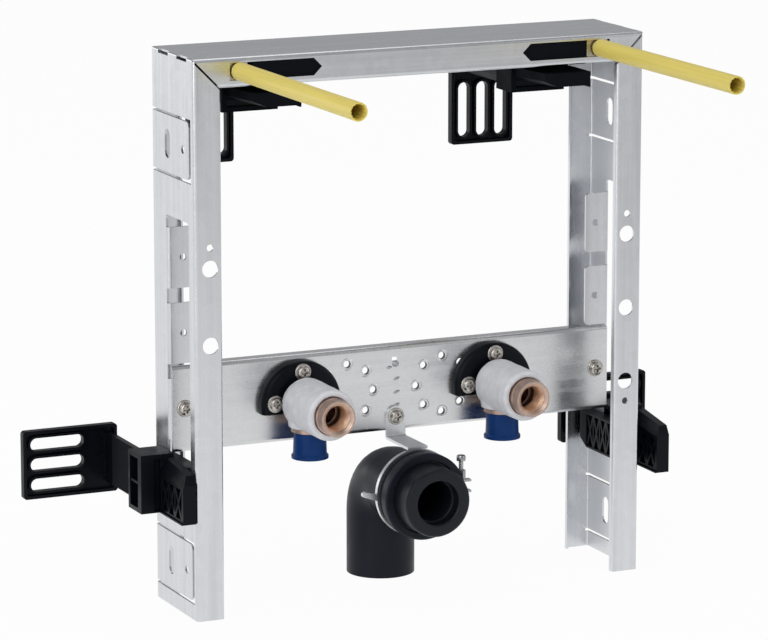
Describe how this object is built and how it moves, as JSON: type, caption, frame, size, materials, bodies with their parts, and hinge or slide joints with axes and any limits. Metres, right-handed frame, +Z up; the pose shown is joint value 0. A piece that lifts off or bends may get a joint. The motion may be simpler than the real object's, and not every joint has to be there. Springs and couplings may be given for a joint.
{
  "type": "washbasin installation frame",
  "caption": "Bent sheet wall frame for a washbasin, with a cross plate for tap connectors, a waste elbow in a clamp, threaded-rod sleeves and slotted wall brackets.",
  "frame": {"origin": "on the plane of the posts' feet, under the middle of the whole part in width and depth", "axes": "+X to the right seen from the room, +Y to the wall, +Z up"},
  "size_m": [0.5076, 0.344, 0.4],
  "materials": {
    "galvanised_sheet": "bent galvanised sheet, soft satin",
    "galvanised_plate": "punched galvanised plate, soft satin",
    "zinc_screws": "zinc plated, bright",
    "zinc_strip": "zinc plated strip",
    "brass": "turned, reddish brass",
    "foam_sleeve": "off-white foam sleeve, matt",
    "blue_plug": "dark blue, semi gloss",
    "yellow_sleeve": "pale yellow, satin",
    "black_moulding": "black glass-filled moulding, satin",
    "waste_pipe": "black polyethylene, satin",
    "rubber_seal": "black rubber, dull"
  },
  "bodies": {
    "root": {"left_post": "galvanised_sheet", "right_post": "galvanised_sheet", "top_beam": "galvanised_sheet", "cross_plate": "galvanised_plate", "end_screw_left": "zinc_screws", "end_screw_right": "zinc_screws", "middle_screw": "zinc_screws", "left_mount_screws": "zinc_screws", "right_mount_screws": "zinc_screws", "clamp_bolt": "zinc_screws", "clamp_ring": "zinc_strip", "clamp_strap": "zinc_strip", "left_mount": "black_moulding", "left_tap_elbow": "brass", "left_insulation": "foam_sleeve", "left_plug": "blue_plug", "left_rod_sleeve": "yellow_sleeve", "left_rod_bush": "zinc_screws", "left_rod_holder": "black_moulding", "lower_left_clip": "black_moulding", "lower_left_wall_plate": "black_moulding", "lower_left_housing": "black_moulding", "upper_left_wall_plate": "black_moulding", "upper_left_housing": "black_moulding", "right_mount": "black_moulding", "right_tap_elbow": "brass", "right_insulation": "foam_sleeve", "right_plug": "blue_plug", "right_rod_sleeve": "yellow_sleeve", "right_rod_bush": "zinc_screws", "right_rod_holder": "black_moulding", "lower_right_clip": "black_moulding", "lower_right_wall_plate": "black_moulding", "lower_right_housing": "black_moulding", "upper_right_wall_plate": "black_moulding", "upper_right_housing": "black_moulding", "waste_elbow": "waste_pipe", "waste_seal": "rubber_seal"}
  },
  "joints": []
}
